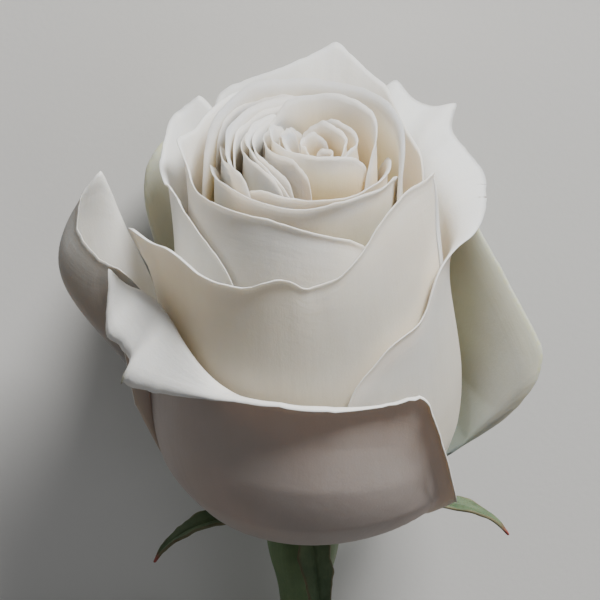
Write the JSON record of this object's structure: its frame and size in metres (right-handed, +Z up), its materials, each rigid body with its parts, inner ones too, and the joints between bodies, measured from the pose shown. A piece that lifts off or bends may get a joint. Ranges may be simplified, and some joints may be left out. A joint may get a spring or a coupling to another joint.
{
  "type": "cut rose",
  "caption": "Half-open white rose with nested petals, green sepals, a cut stem with prickles and one three-part leaf, lying on its back.",
  "frame": {"origin": "centre of the bounding box on the surface the flower lies on", "axes": "+Z up from the surface, +Y along the stem towards the bloom, +X to the bloom's right seen from above with the bloom pointing away"},
  "size_m": [0.1044, 0.206, 0.0649],
  "materials": {
    "petal_white": "soft matte, slightly translucent",
    "petal_cream": "soft matte, slightly translucent, warm cream",
    "petal_guard": "soft matte, green tinted",
    "sepal": "matte, fine down",
    "hip": "satin, waxy",
    "stem": "satin, waxy",
    "prickle": "satin",
    "leaf": "satin, veined"
  },
  "bodies": {
    "root": {"guard_back": "petal_guard", "guard_left": "petal_guard", "guard_right": "petal_guard", "heart_a": "petal_cream", "heart_b": "petal_cream", "heart_c": "petal_cream", "heart_d": "petal_cream", "hip": "hip", "leaflet_low": "leaf", "leaflet_tip": "leaf", "leaflet_up": "leaf", "petal_fore": "petal_white", "petal_front": "petal_white", "petal_left": "petal_white", "petal_middle": "petal_white", "petal_rear": "petal_white", "petal_rear_left": "petal_white", "petal_right": "petal_white", "petiole": "stem", "prickle_a": "prickle", "prickle_b": "prickle", "prickle_c": "prickle", "ring_a": "petal_white", "ring_b": "petal_white", "ring_c": "petal_white", "ring_d": "petal_white", "ring_e": "petal_white", "ring_f": "petal_white", "sepal_back_left": "sepal", "sepal_back_right": "sepal", "sepal_front": "sepal", "sepal_left": "sepal", "sepal_right": "sepal", "stem": "stem"}
  },
  "joints": []
}
